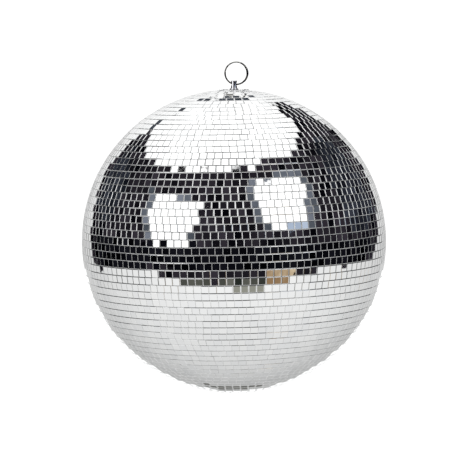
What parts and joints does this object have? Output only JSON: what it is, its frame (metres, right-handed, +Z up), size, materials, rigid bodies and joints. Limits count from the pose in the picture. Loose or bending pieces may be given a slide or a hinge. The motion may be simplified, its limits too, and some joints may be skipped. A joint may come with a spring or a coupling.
{
  "type": "mirror ball",
  "caption": "Hanging ball covered all over in rows of small square mirror tiles, with a round cap plate, a short post and a split ring at the top.",
  "frame": {"origin": "the point on the inside of the split ring that a hook bears on, on the ball's hanging axis", "axes": "+Z up along the hanging axis through the post and the ball's centre; -Y is the front, the side from which the split ring is seen as a circle; +X to the right seen from the front"},
  "size_m": [0.406, 0.406, 0.4431],
  "materials": {
    "mirror_tile": "silvered glass, polished",
    "core_plastic": "matt, moulded, dark grey",
    "plate_chrome": "bright, lightly brushed",
    "post_chrome": "polished",
    "ring_steel": "nickel-plated spring steel, polished",
    "screw_chrome": "bright-plated",
    "zinc_steel": "zinc-plated, dull"
  },
  "bodies": {
    "ring": {"split_ring": "ring_steel"},
    "ball": {"hanging_post": "post_chrome", "cap_plate": "plate_chrome", "cap_screw_1": "screw_chrome", "cap_screw_2": "screw_chrome", "cap_screw_3": "screw_chrome", "cap_screw_4": "screw_chrome", "core_upper_shell": "core_plastic", "core_lower_shell": "core_plastic", "core_joint_ring": "core_plastic", "backing_plate": "zinc_steel", "plain_washer": "zinc_steel", "lock_washer": "zinc_steel", "hex_nut": "zinc_steel", "tile_strip_north_01": "mirror_tile", "tile_strip_north_02": "mirror_tile", "tile_strip_north_03": "mirror_tile", "tile_strip_north_04": "mirror_tile", "tile_strip_north_05": "mirror_tile", "tile_strip_north_06": "mirror_tile", "tile_strip_north_07": "mirror_tile", "tile_strip_north_08": "mirror_tile", "tile_strip_north_09": "mirror_tile", "tile_strip_north_10": "mirror_tile", "tile_strip_north_11": "mirror_tile", "tile_strip_north_12": "mirror_tile", "tile_strip_north_13": "mirror_tile", "tile_strip_north_14": "mirror_tile", "tile_strip_north_15": "mirror_tile", "tile_strip_south_01": "mirror_tile", "tile_strip_south_02": "mirror_tile", "tile_strip_south_03": "mirror_tile", "tile_strip_south_04": "mirror_tile", "tile_strip_south_05": "mirror_tile", "tile_strip_south_06": "mirror_tile", "tile_strip_south_07": "mirror_tile", "tile_strip_south_08": "mirror_tile", "tile_strip_south_09": "mirror_tile", "tile_strip_south_10": "mirror_tile", "tile_strip_south_11": "mirror_tile", "tile_strip_south_12": "mirror_tile", "tile_strip_south_13": "mirror_tile", "tile_strip_south_14": "mirror_tile", "tile_strip_south_15": "mirror_tile", "tile_strip_south_16": "mirror_tile", "pole_tile": "mirror_tile"}
  },
  "joints": [
    {"name": "ball_swing", "type": "hinge", "parent": "ring", "child": "ball", "pos_m": [0, 0, -0.02806], "axis": [1, 0, 0], "range_deg": [-100, 100]}
  ]
}
